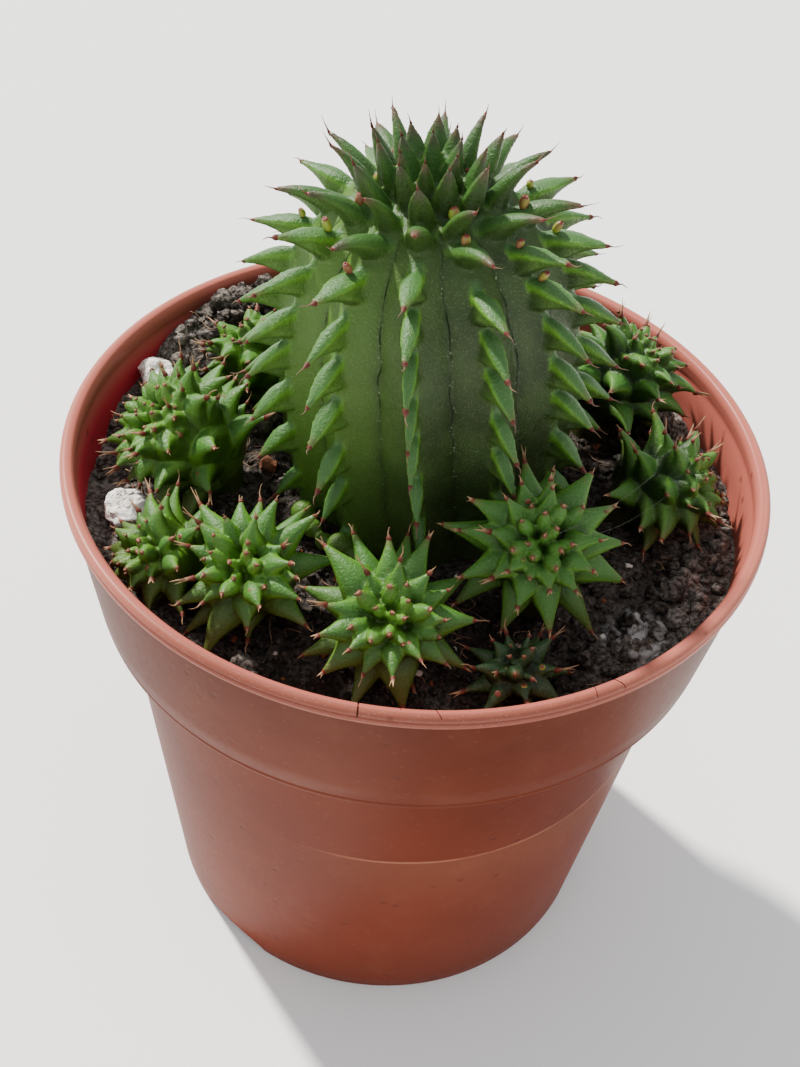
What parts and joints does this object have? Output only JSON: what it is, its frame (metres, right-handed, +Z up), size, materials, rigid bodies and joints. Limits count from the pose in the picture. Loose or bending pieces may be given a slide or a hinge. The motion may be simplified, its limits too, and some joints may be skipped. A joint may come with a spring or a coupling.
{
  "type": "potted euphorbia",
  "caption": "Ribbed, spineless euphorbia with a ring of small offsets, growing in soil in a terracotta-coloured plastic nursery pot.",
  "frame": {"origin": "on the ground under the middle of the pot's foot", "axes": "+Z up along the pot's axis; the side that the picture shows faces -Y, with its right at +X"},
  "size_m": [0.105, 0.105, 0.1408],
  "materials": {
    "pot_plastic": "dull terracotta-coloured moulded plastic, scuffed and dusty",
    "soil": "dark peat with grey grit and root fibres",
    "stem_green": "waxy plant skin, dark green in the furrows and lighter on the teeth",
    "offset_green": "waxy plant skin, bright green with reddish tips",
    "pale_stone": "chalky white perlite"
  },
  "bodies": {
    "root": {"pot": "pot_plastic", "soil": "soil", "main_stem": "stem_green", "offset_front": "offset_green", "offset_front_right": "offset_green", "offset_front_left": "offset_green", "offset_left": "offset_green", "offset_left_back": "offset_green", "offset_back_left": "offset_green", "offset_back": "offset_green", "offset_back_right": "offset_green", "offset_right_back": "offset_green", "offset_right": "offset_green", "offset_front_small": "offset_green", "stone_left": "pale_stone", "stone_left_back": "pale_stone"}
  },
  "joints": []
}
